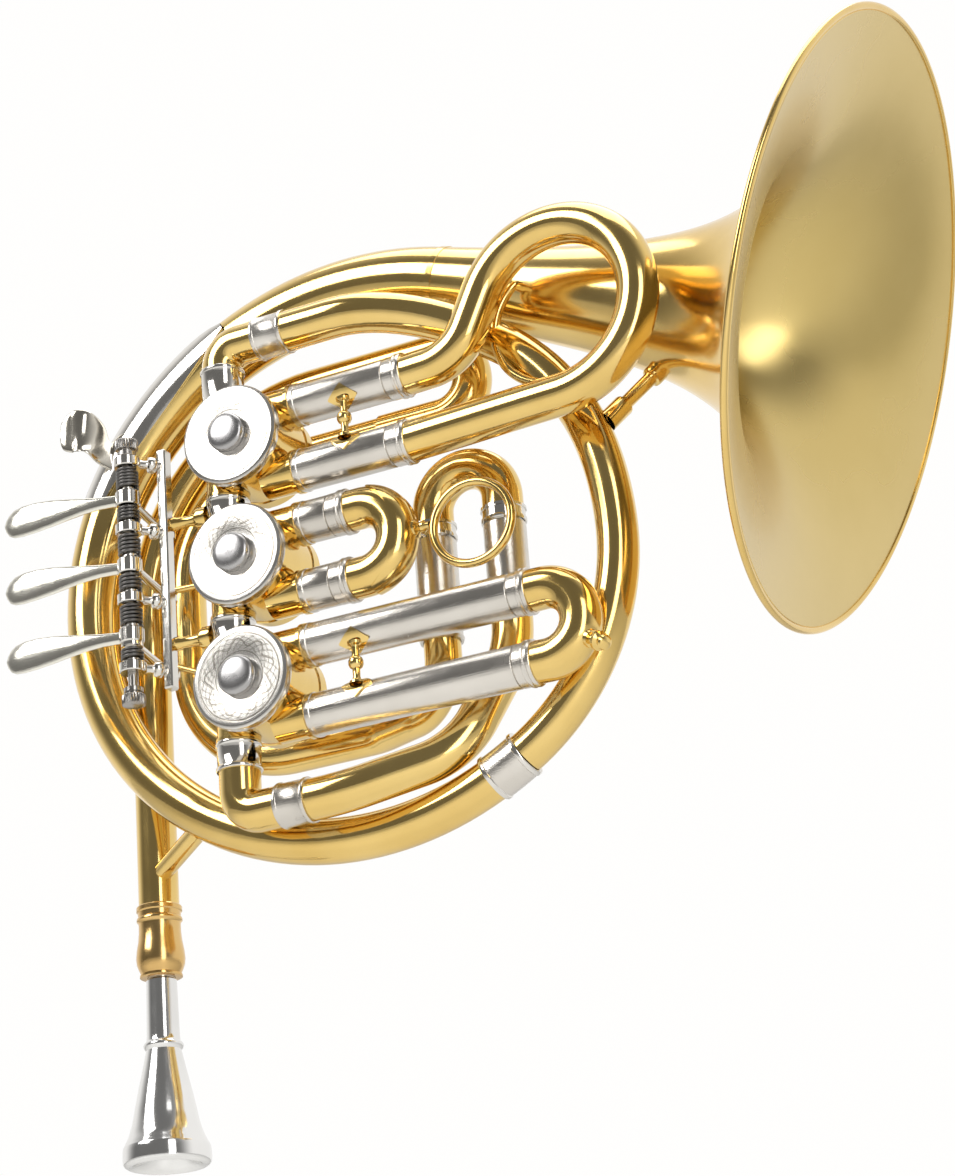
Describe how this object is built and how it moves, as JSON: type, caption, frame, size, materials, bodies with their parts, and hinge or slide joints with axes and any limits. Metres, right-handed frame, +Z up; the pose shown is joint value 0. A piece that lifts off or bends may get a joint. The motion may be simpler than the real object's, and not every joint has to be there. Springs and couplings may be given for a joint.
{
  "type": "french horn",
  "caption": "Compact french horn with rotary valves, paddle levers with spring return, drawable tuning slides, flared bell, leadpipe and removable mouthpiece",
  "frame": {"origin": "centre of the left hand's grip on the bell branch, where the hand guard is", "axes": "+X along the valve slides towards the bell, +Y from the valve caps to the back of the horn, +Z up the valve column, away from the mouthpiece"},
  "size_m": [0.3022, 0.188, 0.3036],
  "materials": {
    "lacquered_brass": "polished yellow brass under clear lacquer",
    "nickel_silver": "polished nickel silver",
    "silver_plate": "polished silver plate",
    "cork": "compressed cork",
    "spring_steel": "dark blued coil spring steel"
  },
  "bodies": {
    "horn": {"bell_brace": "lacquered_brass", "bell_branch_ferrule": "nickel_silver", "bell_branch_left": "lacquered_brass", "bell_branch_lower": "lacquered_brass", "bell_branch_upper": "lacquered_brass", "bell_flare": "lacquered_brass", "bell_rim": "lacquered_brass", "bracket_braces": "lacquered_brass", "entry_branch": "lacquered_brass", "finger_hook": "nickel_silver", "hand_guard": "nickel_silver", "hinge_rod": "nickel_silver", "inner_circle_tube": "lacquered_brass", "leadpipe": "lacquered_brass", "leadpipe_strut": "lacquered_brass", "lever_bracket": "nickel_silver", "lever_springs": "spring_steel", "loop_stay": "lacquered_brass", "mouthpiece_receiver": "lacquered_brass", "return_tube_lower": "lacquered_brass", "return_tube_upper": "lacquered_brass", "slide_1_legs": "nickel_silver", "slide_2_legs": "nickel_silver", "slide_3_legs": "nickel_silver", "slide_leg_braces": "lacquered_brass", "stop_corks": "cork", "tube_ferrules": "nickel_silver", "tuning_legs": "nickel_silver", "valve_back_plates": "lacquered_brass", "valve_cap_1": "nickel_silver", "valve_cap_2": "nickel_silver", "valve_cap_3": "nickel_silver", "valve_casing_1": "lacquered_brass", "valve_casing_2": "lacquered_brass", "valve_casing_3": "lacquered_brass", "valve_elbows": "lacquered_brass", "valve_ports": "nickel_silver"},
    "rotor_1": {"rotor_1": "lacquered_brass", "stop_arm_1": "lacquered_brass"},
    "rotor_2": {"rotor_2": "lacquered_brass", "stop_arm_2": "lacquered_brass"},
    "rotor_3": {"rotor_3": "lacquered_brass", "stop_arm_3": "lacquered_brass"},
    "lever_1": {"lever_1": "nickel_silver"},
    "lever_2": {"lever_2": "nickel_silver"},
    "lever_3": {"lever_3": "nickel_silver"},
    "link_1": {"lever_link_1": "nickel_silver"},
    "link_2": {"lever_link_2": "nickel_silver"},
    "link_3": {"lever_link_3": "nickel_silver"},
    "first_slide": {"slide_1_crook": "lacquered_brass", "slide_1_stockings": "nickel_silver"},
    "second_slide": {"slide_2_crook": "lacquered_brass", "slide_2_stockings": "nickel_silver", "slide_2_pull_ring": "lacquered_brass"},
    "third_slide": {"slide_3_crook": "lacquered_brass", "slide_3_stockings": "nickel_silver", "slide_3_knob": "lacquered_brass"},
    "tuning_slide": {"tuning_crook": "lacquered_brass", "tuning_stockings": "nickel_silver"},
    "mouthpiece": {"mouthpiece": "silver_plate"}
  },
  "joints": [
    {"name": "lever_1_hinge", "type": "hinge", "parent": "horn", "child": "lever_1", "pos_m": [0.007, -0.0385, -0.0388], "axis": [0, 0, 1], "range_deg": [-20, 0], "stiffness_Nm_per_rad": 0.12, "springref_deg": 11.46},
    {"name": "link_1_pivot", "type": "hinge", "parent": "lever_1", "child": "link_1", "pos_m": [0.00127, -0.006, -0.0362], "axis": [0, 0, 1], "range_deg": [0, 20]},
    {"name": "rotor_1_turn", "type": "hinge", "parent": "horn", "child": "rotor_1", "pos_m": [0.044, -0.0255, -0.026], "axis": [0, 1, 0], "range_deg": [-90, 0]},
    {"name": "lever_2_hinge", "type": "hinge", "parent": "horn", "child": "lever_2", "pos_m": [0.007, -0.0385, -0.0616], "axis": [0, 0, 1], "range_deg": [-20, 0], "stiffness_Nm_per_rad": 0.12, "springref_deg": 11.46},
    {"name": "link_2_pivot", "type": "hinge", "parent": "lever_2", "child": "link_2", "pos_m": [0.00127, -0.006, -0.058], "axis": [0, 0, 1], "range_deg": [0, 20]},
    {"name": "rotor_2_turn", "type": "hinge", "parent": "horn", "child": "rotor_2", "pos_m": [0.044, -0.0255, -0.066], "axis": [0, 1, 0], "range_deg": [0, 90]},
    {"name": "lever_3_hinge", "type": "hinge", "parent": "horn", "child": "lever_3", "pos_m": [0.007, -0.0385, -0.0846], "axis": [0, 0, 1], "range_deg": [-20, 0], "stiffness_Nm_per_rad": 0.12, "springref_deg": 11.46},
    {"name": "link_3_pivot", "type": "hinge", "parent": "lever_3", "child": "link_3", "pos_m": [0.00127, -0.006, -0.084], "axis": [0, 0, 1], "range_deg": [0, 20]},
    {"name": "rotor_3_turn", "type": "hinge", "parent": "horn", "child": "rotor_3", "pos_m": [0.044, -0.0255, -0.106], "axis": [0, 1, 0], "range_deg": [0, 90]},
    {"name": "first_slide_pull", "type": "slide", "parent": "horn", "child": "first_slide", "axis": [1, 0, 0], "range_m": [0, 0.01]},
    {"name": "second_slide_pull", "type": "slide", "parent": "horn", "child": "second_slide", "axis": [1, 0, 0], "range_m": [0, 0.006]},
    {"name": "third_slide_pull", "type": "slide", "parent": "horn", "child": "third_slide", "axis": [1, 0, 0], "range_m": [0, 0.03]},
    {"name": "main_tuning_pull", "type": "slide", "parent": "horn", "child": "tuning_slide", "axis": [0, 0, 1], "range_m": [0, 0.012]},
    {"name": "mouthpiece_pull", "type": "slide", "parent": "horn", "child": "mouthpiece", "axis": [0, 0, -1], "range_m": [0, 0.02]}
  ],
  "couplings": [
    {"joint": "link_1_pivot", "follows": "lever_1_hinge", "ratio": -1},
    {"joint": "rotor_1_turn", "follows": "lever_1_hinge", "ratio": 4.5},
    {"joint": "link_2_pivot", "follows": "lever_2_hinge", "ratio": -1},
    {"joint": "rotor_2_turn", "follows": "lever_2_hinge", "ratio": -4.5},
    {"joint": "link_3_pivot", "follows": "lever_3_hinge", "ratio": -1},
    {"joint": "rotor_3_turn", "follows": "lever_3_hinge", "ratio": -4.5}
  ]
}
